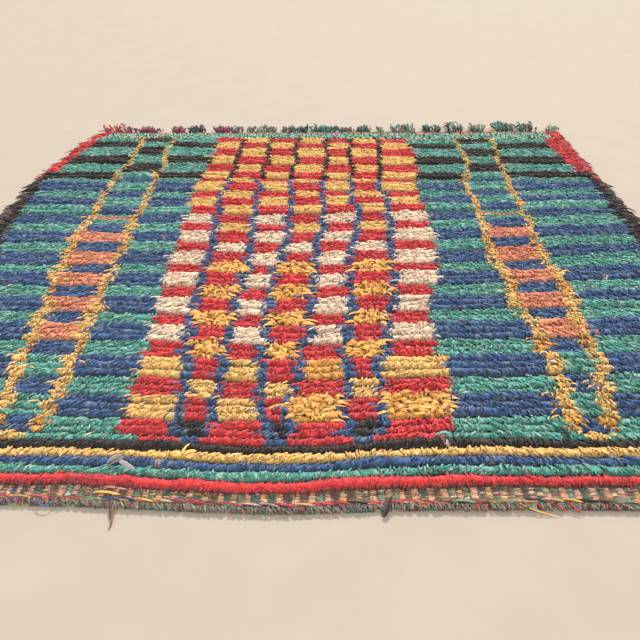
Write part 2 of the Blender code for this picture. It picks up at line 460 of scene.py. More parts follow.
def ragMaterial(name, contrast, rootShade, bump, matted=0.0, tipShade=0.0, sheen=0.18, gloss=0.25):
    # rag or yarn in the lock's own dye, with its fibres, and matted tufts where asked; both bring painted
    # shade
    material, tree, shader = cloth(name, sheen=sheen, gloss=gloss)
    plus, minus, times = operations(tree)
    dye = addNode(tree, "Attribute", attribute_name="dye").outputs["Color"]
    strand = addNode(tree, "UVMap", uv_map="strand").outputs["UV"]
    look = addNode(tree, "Group", node_tree=fibres, Dye=dye, Strand=strand, Contrast=contrast)
    look = give(tree, look, Root_shade=rootShade, Tip_shade=tipShade).outputs
    colour, height = look["Colour"], look["Height"]
    # matted tufts: random tone and painted shade in their gaps; pale dyes get less of the painted shade, as
    # light bounces more among them
    if matted:
        where = addNode(tree, "TexCoord").outputs["Object"]
        mat = addNode(tree, "Group", node_tree=tufts, Contrast=matted, Place=where).outputs
        grey = addNode(tree, "RGBToBW", Color=dye).outputs[0]
        depth = minus(1.15, times(grey, 0.75))  # pale dyes show less of it
        colour = scaled(tree, colour, plus(times(minus(mat["Shade"], 1.0), depth), 1.0))
        height = plus(times(height, 0.4), mat["Height"])
    give(tree, shader, Base_Color=colour, Roughness=look["Rough"], Normal=raised(tree, height, bump))
    return material


ground = {
    "columns": 60,
    "rows": 64,
    "lift": 0.0006,
    # the weft's dyes, and where each begins in a noise from 0 to 1; brown and moss stand in place of lighter
    # weft as painted shade, where the cloth shows under the hem and between rows
    "dyes": (
        ("black", 0.0), ("brown", 0.36), ("moss", 0.43), ("deepGreen", 0.49),
        ("maroon", 0.55), ("brown", 0.60), ("grey", 0.66),
    ),
    "farDyes": ((52, 128, 112), (92, 160, 140)),
    "farFrom": (0.752, 0.762),
}


def groundMaterial():
    # the cloth under the pile: weft in short lengths of many dyes, teal green at the far end, with painted
    # shade in the hollows of the weave
    material, tree, shader = cloth("ground weave", sheen=0.2)
    where = addNode(tree, "TexCoord").outputs["Object"]
    weave = addNode(tree, "Group", node_tree=plainWeave, Place=where).outputs
    at = separated(tree, where)
    lengths = calc(tree, "MULTIPLY", at["X"], 16.0)
    spot = addNode(tree, "CombineXYZ", X=lengths, Y=calc(tree, "MULTIPLY", weave["Pick"], 3.7))
    run = noise(tree, spot.outputs["Vector"], 1.0, 1.0)
    ramp = addNode(tree, "ValToRGB", Fac=run)
    ramp.color_ramp.interpolation = "CONSTANT"
    elements = ramp.color_ramp.elements
    while len(elements) < len(ground["dyes"]):
        elements.new(0.5)
    for element, (name, position) in zip(elements, ground["dyes"]):
        element.position = position
        element.color = opaque(dyes[name])
    teal = mixed(tree, spreadOut(tree, run, 0.40, 0.62), *map(opaque, ground["farDyes"]))
    colour = mixed(tree, spreadOut(tree, at["Y"], *ground["farFrom"]), ramp.outputs["Color"], teal)
    high = weave["Height"]
    # painted shade: darker where the weave sinks between its threads
    dark = mixed(tree, spreadOut(tree, high, 0.1, 0.8), (0.35, 0.33, 0.33, 1.0), (1.0, 1.0, 1.0, 1.0))
    give(
        tree, shader,
        Base_Color=mixed(tree, 1.0, colour, dark, "MULTIPLY"),
        Roughness=spreadOut(tree, high, 0.0, 1.0, 0.97, 0.84),
        Normal=raised(tree, high, 0.0016),
    )
    return material


pileRag = ragMaterial("pile rag", 0.50, 0.20, 0.0020, matted=0.85, tipShade=0.65)
looseRag = ragMaterial("loose rag", 0.55, 0.25, 0.0010)
hemYarn = ragMaterial("hem yarn", 0.45, 0.15, 0.0010, matted=0.8)
satinRag = ragMaterial("satin rag", 0.18, 0.1, 0.0003, sheen=0.6, gloss=0.5)
groundCloth = groundMaterial()
print("materials ready")


def finishPiece(piece, material, slotName, *nodes):
    piece.data.materials.append(material)
    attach(piece, "root")
    if nodes:
        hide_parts(*nodes)
    return piece


def lockPiece(name, finish, *values, **options):
    # one piece of locks; finish holds its material, its slot name, which is not used, and the CAD node that
    # it replaces, if any
    return finishPiece(joinedPiece(name, [lockPart(*values, **options)]), *finish)


# The ground cloth, a thin sheet with the rug's outline

def makeGround():
    bm = bmesh.new()
    bmesh.ops.create_grid(bm, x_segments=ground["columns"], y_segments=ground["rows"], size=1.0)
    share = np.array([(v.co.x + 1) / 2 for v in bm.verts])
    along = np.array([(v.co.y + 1) / 2 for v in bm.verts]) * rug["clothEnd"]
    x = leftSide(along) * (1 - share) + rightSide(along) * share
    for vert, spot in zip(bm.verts, place(x, along, ground["lift"])):
        vert.co = spot
    area = sum(face.calc_area() for face in bm.faces)
    top = bmesh.ops.extrude_face_region(bm, geom=bm.faces[:])["geom"]
    lifted = [v for v in top if isinstance(v, bmesh.types.BMVert)]
    bmesh.ops.translate(bm, verts=lifted, vec=(0, 0, rug["clothThick"] - ground["lift"]))
    bmesh.ops.recalc_face_normals(bm, faces=bm.faces)
    return finishPiece(objectFrom(bm, "ground_weave"), groundCloth, "rag_pile", "rug_body"), area


groundWeave, groundArea = makeGround()
print("ground cloth made")

# The weaver's chart: where each line of the pattern stands along the rug, and what lies between the lines

chart = {
    "at": (0.12, 0.31, 0.53, 0.75, 0.99, 1.23, 1.41, 1.64),
    # how deep each band of the field is, in millimetres, from the near end
    "bandDepth": (
        53, 57, 49, 62, 51, 61, 46, 60, 50, 60, 46, 68, 53, 60,
        55, 64, 44, 59, 47, 61, 34, 45, 82, 63, 80, 60, 57,
    ),
    # how far the rows stray nearer, in millimetres: on the left, in the middle and on the right
    "strayAt": (0.00, 0.12, 0.30, 0.60, 1.00, 1.25, 1.60, 1.80),
    "stray": (
        (0, 4, 5, 8, 24, -10, -46, -28),
        (0, -3, -11, -11, -14, -10, -14, -8),
        (0, -5, -24, -45, -40, -18, -20, -12),
    ),
    "strayAcross": (-0.50, 0.36, 0.75),
    "dividerWidth": 0.0175,
    "railAt": (0.20, 0.60, 1.50),
    "railWidth": (0.0225, 0.0225, 0.0120),
    "bandJog": 0.0040,
    "rowJog": 0.0030,
    "lateOnTheRight": (7, 11, 15),  # right of the ladder, their first row keeps the dye of the band before
    "lastBlueBand": 20,  # past it the field, the dividers and the selvedges change dye
}
# x of each line of the pattern, in millimetres, at the distances that the chart gives
patternLines = {
    "leftSelvedge": (-745, -750, -750, -752, -786, -806, -790, -752),
    "leftLadderOuter": (-505, -530, -556, -586, -593, -596, -598, -596),
    "leftLadderInner": (-438, -436, -451, -462, -471, -480, -488, -496),
    "panelLeft": (-308, -316, -320, -334, -338, -348, -330, -338),
    "divider1": (-217, -226, -251, -248, -258, -260, -250, -246),
    "divider2": (-168, -168, -163, -153, -154, -166, -155, -153),
    "divider3": (-82, -90, -94, -79, -63, -69, -64, -56),
    "divider4": (-48, -30, -7, 4, 24, 22, 37, 38),
    "divider5": (53, 56, 74, 86, 108, 106, 122, 126),
    "divider6": (104, 122, 162, 186, 202, 194, 209, 222),
    "panelRight": (217, 233, 245, 287, 296, 292, 326, 318),
    "rightLadderInner": (408, 427, 423, 422, 437, 446, 486, 489),
    "rightLadderOuter": (463, 506, 533, 539, 560, 577, 591, 617),
    "rightSelvedge": (770, 775, 780, 784, 802, 822, 806, 800),
}
dividers = [line for line in patternLines if line.startswith("divider")]
jogged = [line for line in patternLines if "Selvedge" not in line]
jogs = {line: jitter(chart["bandJog"], len(chart["bandDepth"])) for line in jogged}

pile = {
    "border": ("red", "green", "blue", "yellow", "black"),
    "start": 0.0254,
    "borderPitch": 0.0191,
    "rowPitch": 0.0181,
    "margin": 0.004,
    "rootShare": 1.05,  # of a row's depth, from its near side
    "spacing": (0.0029, 0.0042),  # between strands, near and far
    "spacingAt": (0.10, 1.20),
    "fullness": 0.92,
    "lean": 0.015,
    "halfWidth": (0.0024, 0.0026),
    # painted shade: a row's body is darker under its strands
    "ropePaintedShade": 0.86,  # how bright the dye is under the strands
    "ropeShare": 0.94,  # how full the body of a row is
    "curl": 0.0018,
    "drop": 0.0095,  # how much lower than the rest the lowest tips hang
    "halfThick": 0.0016,
    "ring": ((-0.0070, 0.0045), (-0.0060, 0.0165), (0.0020, 0.0222), (0.0112, 0.0222), (0.0100, 0.0060)),
    # painted shade: each row's body is darker low at its back and low at its near face, in the gap between
    # two rows
    "ringPaintedShade": (0.30, 0.90, 1.0, 0.95, 0.25),  # the dye is darker in the gap between two rows
    "nearRowReach": (0.80, 0.30, -0.05, 0.28),  # of the first row: least, more in the middle, where, how wide
    "bandsInPiece": 3,
    "paintedHighlight": (190, 214, 206),
    "deepDyes": {"red": "deepRed", "green": "deepGreen", "blue": "navy", "gold": "brown"},
}
shag = {
    "spacing": 0.0015, "length": 0.022, "spread": 0.009, "stray": 0.013, "top": 0.0262,
    "halfWidth": 0.0039, "thickShare": 0.12, "shade": 0.82,
}


def lineAt(line, along, band):
    x = np.interp(along, chart["at"], np.divide(patternLines[line], 1000))
    return x + jogs[line][band] + jitter(chart["rowJog"]) if line in jogs else x


def lightDye(band, column):
    # the dye of a light check, which depends on its band and column
    if band == 0:
        return "black"
    if band in (4, 6, 8, 10) or (band == 1 and column in (5, 7)):
        return "shaggy"
    if band == 3 and column == 5:
        return "gold"
    return "cream" if band in (5, 7, 9, 11, 12, 13, 15) else "yellow"


def ladderDye(band, inBand):
    if band % 2 == 0:
        return "blue" if band <= chart["lastBlueBand"] else "black"
    return "orange" if band in (5, 7, 9, 11, 13) or (band == 15 and inBand == 2) else "green"


def fieldDye(band):
    if band % 2 == 0:
        return "green"
    return "blue" if band < chart["lastBlueBand"] else "black"


def chartRow(x, along, band, inBand):
    # the dye of each knot in a row of the field
    at = {line: lineAt(line, along, band) for line in patternLines}
    late = band > chart["lastBlueBand"]
    names = np.full(len(x), fieldDye(band), dtype=object)

    def between(low, high, name):
        names[(x > low) & (x < high)] = name

    def around(spot, half, name):
        names[abs(x - spot) < half] = name

    if inBand == 0 and band in chart["lateOnTheRight"]:
        names[x > at["rightLadderOuter"]] = fieldDye(band - 1)
    edge = "red" if band > chart["lastBlueBand"] + 1 else "black"
    names[(x < at["leftSelvedge"]) | (x > at["rightSelvedge"])] = edge
    for side in ("left", "right"):
        low, high = sorted((at[side + "LadderOuter"], at[side + "LadderInner"]))
        half = np.interp(along, chart["railAt"], chart["railWidth"]) / 2 * uniform(0.65, 1.4)
        if band == 0 and inBand == 0:
            between(low + half, high - half, "railYellow")
            continue
        between(low, high, ladderDye(band, inBand))
        for rail in (low, high):
            around(rail, half, "railYellow" if band % 4 or late else "railGold")
    edges = [at["panelLeft"], *(at[line] for line in dividers), at["panelRight"]]
    if band == 0 and inBand == 0:
        edges[0] += 0.030
        edges[-1] -= 0.022
    for column, ends in enumerate(zip(edges, edges[1:]), start=1):
        between(*ends, lightDye(band, column) if column % 2 == band % 2 else "red")
    for line in dividers:
        widen = (0.003 if 3 <= band <= 15 else 0.0) * uniform(0.3, 1.0)
        around(at[line], chart["dividerWidth"] / 2 + widen, "black" if late else "blue")
    if band > 0 or inBand > 1:
        return names
    for left, right in zip(edges[1:7:2], edges[2:7:2]):
        # the dark checks of the first rows
        middle, reach = (left + right) / 2, (right - left) / 2
        between(left - 0.008, right + 0.008, "blue" if inBand else "red")
        around(middle + 0.006 * inBand, reach * 0.55 if inBand else 0.017, "black" if inBand else "blue")
    return names


def waver(x, row):
    # how far a row strays from its line: long waves shared with its neighbours, short ones of its own
    shared = 0.0022 * np.sin(x * 6.3 + row * 0.23) + 0.0015 * np.sin(x * 15.1 - row * 0.41)
    return shared + 0.0011 * np.sin(x * 31 + row * 2.3) + 0.0008 * np.sin(x * 67 + row * 1.1)


def stray(x, along):
    # how far the whole rows stray towards the near end, which changes across and along the rug
    shifts = [eased(along, chart["strayAt"], np.divide(values, 1000)) for values in chart["stray"]]
    return np.interp(x, chart["strayAcross"], shifts)


def swell(x, row):
    # how full a row is
    return 1 + 0.07 * np.sin(x * 13.7 + row * 2.9) + 0.06 * np.sin(x * 37 + row * 5.3)


def leanField(x, row):
    # which way the strands lean: mostly to the left on the left and to the right on the right
    slow = np.sin(x * 9.1 + row * 1.9) + 0.8 * np.sin(x * 23.0 - row * 2.7 + 1.3)
    return np.where(x > 0.27, 0.45, -0.55) + 0.42 * slow


def plainNames(names):
    # the ladders' rails are dyed yellow or gold
    return np.where(names == "railYellow", "yellow", np.where(names == "railGold", "gold", names))


def shades(names, x, row, tint, spread):
    # the colours of a row's strands: patches of paler dye, green and blue strands paled as painted highlight,
    # strands over-dyed, and a few strays
    count = len(names)
    patch = np.exp(0.09 * np.sin(x * 13 + row * 5.1) * np.sin(x * 5.3 - row))
    colours = dyed(names, spread) * tint * patch[:, None]
    green = names == "green"
    # painted highlight: some green and blue strands are mixed towards a pale mint
    pale = chance.random(count) < np.where(green, 0.20, np.where(names == "blue", 0.12, 0.0))
    paler = linear(pile["paintedHighlight"]) * 0.45 * np.where(green, 1.0, 0.55)[:, None]
    colours[pale] = (colours * 0.55 + paler)[pale]
    deep = chance.random(count) < np.where(np.isin(names, list(pile["deepDyes"])), 0.14, 0.0)
    darker = linear([dyes[pile["deepDyes"].get(name, "black")] for name in names])
    colours[deep] = (colours * 0.45 + darker * 0.55)[deep]
    odd = chance.random(count) < 0.0015
    colours[odd] = dyed(picked("pink cream orange", int(odd.sum())))
    return withinRange(colours)


def strandsOf(x, along, names, row, pitch, tint, reachOut):
    # the strands of a row: nearly half lie over the crest, the rest hang down the near face, some lower
    count = len(x)
    cream = names == "cream"
    rail = np.isin(names, ["railYellow", "railGold"])
    names = plainNames(names)
    x = x + jitter(0.0009, count)
    lean = (leanField(x, row) + jitter(0.42, count)) * pile["lean"] * np.where(cream, 1.25, 1.0)
    lean = np.where(rail, jitter(0.75, count) * pile["lean"], lean)
    narrow = (np.roll(names, 4) != names) & (np.roll(names, -4) != names)
    lean = np.where(narrow, 0.45 * lean, lean)
    curl = jitter(pile["curl"], count)
    full = swell(x, row) * (pitch / pile["rowPitch"]) ** 0.7 * pile["fullness"] * np.where(rail, 1.08, 1.0)
    high = full * chance.normal(1.0, 0.045, count)
    out = full * chance.normal(1.0, 0.12, count) * reachOut
    over = chance.random(count) < 0.45
    drop = np.where(over, 0.0, pile["drop"] * chance.random(count) ** 1.3)
    root = along + waver(x, row) - stray(x, along) + jitter(0.0013, count)
    droop = 1.0 if row else 0.45  # the first row hangs down in front

    def way(forwardOver, forwardFront, leanShare, curlShare, heightOver, heightFront, dropShare):
        forward = np.where(over, forwardOver, forwardFront) * out - 0.35 * dropShare * drop
        height = np.where(over, heightOver, heightFront) - dropShare * drop
        height = np.where(height > 0.012, height * high, height)
        return x + leanShare * lean + curlShare * curl, root - forward, np.maximum(height, 0.003)

    bends = curve(
        way(-0.0050, 0.0010, 0.0, 0.0, 0.0120, 0.0140, 0.0),
        way(-0.0045, 0.0040, 0.25, 1.0, 0.0225, 0.0228, 0.0),
        way(0.0065, 0.0110, 0.70, -1.0, 0.0275, 0.0250 * (0.6 + 0.4 * droop), 0.4),
        way(0.0168, 0.0165, 1.0, 0.4, 0.0240 * droop, 0.0215 * droop, 1.0),
    )
    flats = vectors(0.016, lean, jitter(0.006, count))
    broad = np.interp(along, pile["spacingAt"], pile["halfWidth"])
    widths = broad * chance.normal(1.0, 0.20, count).clip(0.5, 1.6)
    thicks = pile["halfThick"] * chance.normal(1.0, 0.20, count).clip(0.4, 1.6)
    colours = shades(names, x, row, tint, 0.15)
    flecked = cream & (chance.random(count) < 0.008)
    colours[flecked] = dyed(["brown"] * int(flecked.sum()))
    return bends, widths, thicks, flats, colours


def ropeOf(x, along, names, row, pitch, tint, reachOut):
    # the body of a row under its strands, as rings of points from its back to its near face
    scale = pitch / pile["rowPitch"]
    uneven = 1 + jitter(0.035, (len(x), len(pile["ring"])))
    full = pile["ropeShare"] * pile["fullness"] * swell(x, row)[:, None] * uneven
    out, up = np.array(pile["ring"]).T[:, None, :]
    names = plainNames(names)
    shaggy = names == "shaggy"
    root = (along + waver(x, row) - stray(x, along))[:, None]
    forward = out * scale * full * reachOut[:, None]
    height = up * np.where(up > 0.012, full * scale, 1.0) * np.where(shaggy, 0.95, 1.0)[:, None]
    # painted shade: the body of a row darker than its strands
    colours = shades(np.where(shaggy, "gold", names), x, row, tint, 0.08) * pile["ropePaintedShade"]
    # painted shade from the ring, weaker on the first row, which hangs down in front
    shade = np.array(pile["ringPaintedShade"]) ** (1.0 if row else 0.4)
    return place(x[:, None], root - forward, height), colours[:, None, :] * shade[None, :, None]


def shagOf(x, along, names, row):
    # long flat strips of gold rag that fall every way over a check
    runs = np.flatnonzero(np.diff(np.concatenate([[0], (names == "shaggy").astype(int), [0]])))
    strips = []
    for first, last in zip(runs[::2], runs[1::2]):
        low, high = x[first], x[last - 1]
        count = int((high - low) / shag["spacing"]) + 1
        if count < 4:
            continue
        share = uniform(-1, 1, count)
        spot = (low + high) / 2 + share * (high - low) / 2
        sideways = share * shag["spread"] + jitter(shag["stray"], count)
        length = shag["length"] * uniform(0.6, 1.15, count)
        forward = chance.normal(0.55, 0.40, count) * length * 0.6
        root = along + waver(spot, row) - stray(spot, along) + jitter(0.005, count)
        top = shag["top"] * uniform(0.84, 1.06, count)
        bends = curve(
            (spot, root, 0.014),
            (spot + 0.1 * sideways, root - 0.1 * forward, top),
            (spot + 0.6 * sideways, root - 0.6 * forward, top + 0.001),
            (spot + sideways, root - forward, top - uniform(0.002, 0.010, count)),
        )
        flats = vectors(forward, sideways, jitter(0.010, count))
        strips.append((bends, flats, shag["halfWidth"] * uniform(0.75, 1.25, count)))
    return strips


def pileRows():
    # each row's piece, near edge, depth, band or border dye, and number in its band
    start, pitch = pile["start"], pile["borderPitch"]
    rows = [(0, start + number * pitch, pitch, name, 0) for number, name in enumerate(pile["border"])]
    start += len(pile["border"]) * pitch
    for band, depth in enumerate(chart["bandDepth"]):
        count = round(depth / 1000 / pile["rowPitch"])
        pitch = depth / 1000 / count
        group = 1 + band // pile["bandsInPiece"]
        rows += [(group, start + inBand * pitch, pitch, band, inBand) for inBand in range(count)]
        start += depth / 1000
    return rows


def makePile():
    # every row of knots, in pieces of a few bands, and the shaggy checks in a piece of their own
    strands, ropes, strips = {}, {}, []
    for row, (group, near, pitch, band, inBand) in enumerate(pileRows()):
        along = near + pile["rootShare"] * pitch
        x = acrossRug(along, pile["margin"], np.interp(along, pile["spacingAt"], pile["spacing"]))
        names = chartRow(x, along, band, inBand) if group else np.full(len(x), band, dtype=object)
        reachOut = np.ones(len(x))
        if row == 0:
            least, more, middle, wide = pile["nearRowReach"]
            reachOut = least + more * np.exp(-(((x - middle) / wide) ** 2))
        tint = np.exp(jitter(0.045))
        for made, makeRow, some in (
            (strands, strandsOf, names != "shaggy"),
            (ropes, ropeOf, slice(None, None, 2)),
        ):
            knots = (x[some], along, names[some], row, pitch, tint, reachOut[some])
            made.setdefault(group, []).append(makeRow(*knots))
        strips += shagOf(x, along, names, row)
    pieces = []
    for group in strands:
        parts = [lockPart(*joined(strands[group]), around=3, steps=3, profile=(1.0, 0.85))]
        parts += [tubePart(*rope, number, len(ropes[group])) for number, rope in enumerate(ropes[group])]
        shelves = [(0.25, 1.0)] + [(0.0, 0.24)] * len(ropes[group])
        piece = joinedPiece(f"field_bands_{group:02d}" if group else "border_rows", parts, shelves)
        pieces.append(finishPiece(piece, pileRag, "rag_pile", "rug_body"))
    bends, flats, widths = joined(strips)
    palette = chance.choice(["gold", "yellow", "ochre"], len(bends), p=[0.68, 0.16, 0.16])
    twist = jitter(0.5, len(bends))
    colours = dyed(palette, 0.28) * shag["shade"]
    pieces.append(lockPiece(
        "shaggy_checks", (looseRag, "rag_pile"), bends, widths, widths * shag["thickShare"], flats, colours,
        steps=6, profile=(0.8, 1.0, 1.0, 0.9, 0.6), twist=twist,
    ))
    return pieces


pilePieces = makePile()
print("pile made")

# The near flatwoven end, its rolled edge and its twined cord

nearEnd = {
    "rows": 10,
    "first": 0.0090,
    "pitch": 0.0031,
    "height": 0.0010,
    # width of the dark and the pale columns: left of the bars' end, and past it
    "barsUntil": -0.42,
    "barWidths": (0.0062, 0.0072),
    "columnWidths": (0.0098, 0.0112),
    "bars": "navy deepRed purple navy maroon",
    "darks": "teal brown moss brown deepGreen brown sage maroon",
    "pales": "beige ochre orange beige pink beige",
    "lowPales": "ochre gold yellow orange beige",
    "lowRows": 4,
    "specks": "beige cream ochre grey moss brown brown",
    "speckled": 0.20,
    "shade": 0.78,
    "dust": 0.16,  # how much every dye of the weave is dulled
    "dustColour": (112, 98, 78),
    "edgeSpacing": 0.0016,
    "edgeDyes": "brown grey moss grey brown sage rose",
    "edgePlain": "brown grey moss grey",
    "edgeLeft": "blue rose navy grey teal",
    "edgeShade": 0.60,
}


def makeNearWeave():
    # short picks stacked in columns, dark and pale by turns
    edges = [leftSide(0.0) + 0.006]
    while edges[-1] < rightSide(0.0) - 0.016:
        widths = nearEnd["barWidths" if edges[-1] < nearEnd["barsUntil"] else "columnWidths"]
        edges.append(edges[-1] + widths[len(edges) % 2] * uniform(0.8, 1.2))
    starts, ends = np.array(edges[:-1]), np.array(edges[1:])
    count = len(starts)
    bars, darks = (picked(nearEnd[key], count) for key in ("bars", "darks"))
    darks = np.where(starts < nearEnd["barsUntil"], bars, darks)
    z = rug["clothThick"] - 0.0002
    picks = []
    for row in range(nearEnd["rows"]):
        along = nearEnd["first"] + row * nearEnd["pitch"] + jitter(0.0006, count)
        slant = jitter(0.0010, count)
        low = starts - uniform(0.0008, 0.0026, count)
        high = ends + uniform(0.0008, 0.0026, count)
        bends = curve(
            (low, along - slant, z - 0.0012),
            (low * 0.7 + high * 0.3, along - slant * 0.4, z + nearEnd["height"]),
            (low * 0.3 + high * 0.7, along + slant * 0.4, z + nearEnd["height"]),
            (high, along + slant, z - 0.0012),
        )
        pales = picked(nearEnd["lowPales" if row < nearEnd["lowRows"] else "pales"], count)
        names = np.where(np.arange(count) % 2 == 1, darks, pales)
        speckle = chance.random(count) < nearEnd["speckled"]
        names[speckle] = picked(nearEnd["specks"], int(speckle.sum()))
        picks.append((bends, names))
    bends, names = joined(picks)
    half = nearEnd["pitch"] * 0.56
    colours = dyed(names, 0.25) * nearEnd["shade"] * (1 - nearEnd["dust"])
    colours = colours + linear(nearEnd["dustColour"]) * nearEnd["dust"]
    return lockPiece(
        "near_weave", (hemYarn, "rag_pile"), bends, half, half * 0.4, (0.0, 1.0, 0.0), colours,
        steps=4, profile=(0.9, 1.0, 0.9),
    )


def makeRolledEdge():
    # the hem, overcast with short slanted stitches
    x = acrossRug(0.0, 0.003, nearEnd["edgeSpacing"])
    count = len(x)
    slope = chance.normal(0.0030, 0.0048, count)
    near = -0.0012 + 0.0020 * np.sin(x * 19) * np.sin(x * 5.3 + 1) + jitter(0.0010, count)
    low = uniform(0.0012, 0.0070, count)
    bends = curve(
        (x, near + 0.010, 0.0060),
        (x + slope * 0.4, near + 0.006, 0.0120 + jitter(0.0012, count)),
        (x + slope, near - 0.0035, 0.0105 + jitter(0.0010, count)),
        (x + slope * 1.4, near - 0.0010, low),
    )
    patch = np.sin(x * 31) + np.sin(x * 77 + 2) > jitter(1.0, count)
    mixes, plain, left = (picked(nearEnd["edge" + key], count) for key in ("Dyes", "Plain", "Left"))
    names = np.where(x < nearEnd["barsUntil"], left, np.where(patch, mixes, plain))
    return lockPiece(
        "rolled_edge", (hemYarn, "cord_yarn"), bends, 0.0014, 0.0010, (1.0, 0.2, 0.0),
        dyed(names, 0.20) * nearEnd["edgeShade"], steps=4, profile=(1.0, 1.0, 0.9),
    )


cords = {
    "turn": 0.025,  # length of a half turn
    "strandRadius": 0.0014,
    "inset": 0.006,
    "shade": 0.66,
    "nearDyes": "rose black ochre rose sage brown beige rose navy ochre",
    "farDyes": "orange brown rose pink ochre deepGreen orange",
}


def makeTwinedCord(name, along, palette, node):
    # two yarns twisted round each other, each made of short lengths of dye
    left, right = leftSide(along) + cords["inset"], rightSide(along) - cords["inset"]
    count = int((right - left) / cords["turn"])
    step = (right - left) / count
    radius = cords["strandRadius"]
    middle = rug["clothThick"] + 0.0006 + 2 * radius
    bends, names = [], []
    for strand in (0, 1):
        for i in range(count):
            over = (i + strand) % 2 == 0
            swing, bump = (0.0030, 1.5 * radius) if over else (-0.0026, -0.9 * radius)
            x = left + i * step + np.array([-0.004, step * 0.3, step * 0.7, step + 0.004])
            back = np.array([0.0026, 0.4 * swing, -0.4 * swing, -0.0026])[::1 if over else -1]
            sway = 0.0011 * np.sin(x * 23) + 0.0009 * np.sin(x * 61)
            bends.append(place(x, along + back + sway, middle + np.array([-0.0008, bump, bump, -0.0008])))
            names.append(picked(palette))
    return lockPiece(
        name, (hemYarn, "cord_yarn", node), np.array(bends), radius * 1.15, radius, (0.0, 1.0, 0.0),
        dyed(names, 0.25) * cords["shade"],
        around=6, steps=8, profile=(0.75, 1.0, 1.05, 1.0, 1.05, 1.0, 0.75),
    )


nearWeave = makeNearWeave()
rolledEdge = makeRolledEdge()
nearCord = makeTwinedCord("near_cord", 0.0105, cords["nearDyes"], "near_twined_cord")
farCord = makeTwinedCord("far_cord", 1.782, cords["farDyes"], "far_twined_cord")
print("flatwoven ends made")

# Low flecked rows where the pile stops at the far end

farRows = {
    "start": 1.650,
    "pitch": 0.0150,
    "spacing": 0.0062,
    "halfWidth": 0.0038,
    "halfThick": 0.0022,
    # the dyes of each row, from the field outwards
    "rows": (
        "yellow black black gold cream",
        "yellow green black cream black",
        "green green mint yellow green",
        "green mint green mint green",
        "mint green mint green",
        "mint green green mint orange",
        "green orange mint green teal",
        "orange mint pink green",
    ),
}


def makeFarRows():
    made = []
    for row, palette in enumerate(farRows["rows"]):
        along = farRows["start"] + (row + 0.8) * farRows["pitch"]
        x = acrossRug(along, 0.006, farRows["spacing"])
        count = len(x)
        tall = 0.0195 - 0.0014 * row + jitter(0.0012, count)
        lean = jitter(0.007, count)
        root = along + waver(x, row) + jitter(0.001, count) - stray(x, along)
        bends = curve(
            (x, root, 0.004),
            (x, root + 0.001, tall * 0.9),
            (x + lean, root - 0.008, tall * 1.15),
            (x + lean, root - 0.018, tall * 0.72),
        )
        made.append((bends, dyed(picked(palette, count), 0.15)))
    bends, colours = joined(made)
    return lockPiece(
        "far_flecked_rows", (pileRag, "rag_pile"), bends, farRows["halfWidth"], farRows["halfThick"],
        (1.0, 0.0, 0.2), colours, around=3, steps=4, profile=(1.0, 0.9, 0.6),
    )


farFlecks = makeFarRows()

# Shaggy selvedges: loose locks that stick out past the last knots

selvedge = {
    "from": 0.034, "until": 1.785, "count": 520, "reach": (0.010, 0.038), "redFrom": 1.285,
    "cornerReach": (0.016, 0.028), "halfWidth": 0.0042, "furthest": (-0.868, 0.904),
}


def makeSelvedge(name, sideOf, outward, node):
    count = selvedge["count"]
    along = np.sort(uniform(selvedge["from"], selvedge["until"], count))
    edge = sideOf(along)
    reach = uniform(*selvedge["reach"], count) * np.where(chance.random(count) < 0.35, 1.0, 0.62)
    reach = reach + selvedge["cornerReach"][outward < 0] * np.clip((along - 1.45) / 0.3, 0, 1)
    drift = chance.normal(-0.05, 0.50, count) * reach
    lift = uniform(0.008, 0.019, count)
    inner = edge - outward * uniform(0.002, 0.016, count)
    outer = np.clip(edge + outward * (0.010 + reach), *selvedge["furthest"])
    bends = curve(
        (inner, along, 0.006),
        (inner + outward * 0.006, along + 0.2 * drift, lift + 0.006),
        ((edge + outer) / 2 + outward * 0.004, along + 0.6 * drift, lift + 0.004),
        (outer, along + drift, uniform(0.0022, 0.010, count)),
    )
    flats = vectors(-drift * outward, reach, jitter(0.008, count))
    flats = flats / np.linalg.norm(flats, axis=1, keepdims=True)
    names = np.where(along > selvedge["redFrom"], "red", "black").astype(object)
    odd = chance.random(count) < 0.05
    names[odd] = picked("brown deepRed navy", int(odd.sum()))
    widths = selvedge["halfWidth"] * chance.normal(1, 0.25, count).clip(0.4, 1.7)
    twist = jitter(0.6, count)
    return lockPiece(
        name, (pileRag, "dark_locks", node), bends, widths, widths * 0.5, flats,
        dyed(names, 0.25) * np.where(names == "red", 0.66, 0.9)[:, None],
        steps=6, profile=(0.8, 1.0, 0.95, 0.75, 0.5), twist=twist,
    )


leftLocks = makeSelvedge("left_selvedge", leftSide, -1, "left_edge_locks")
rightLocks = makeSelvedge("right_selvedge", rightSide, 1, "right_edge_locks")
print("selvedges made")

# Tassels of rag strips at the far end

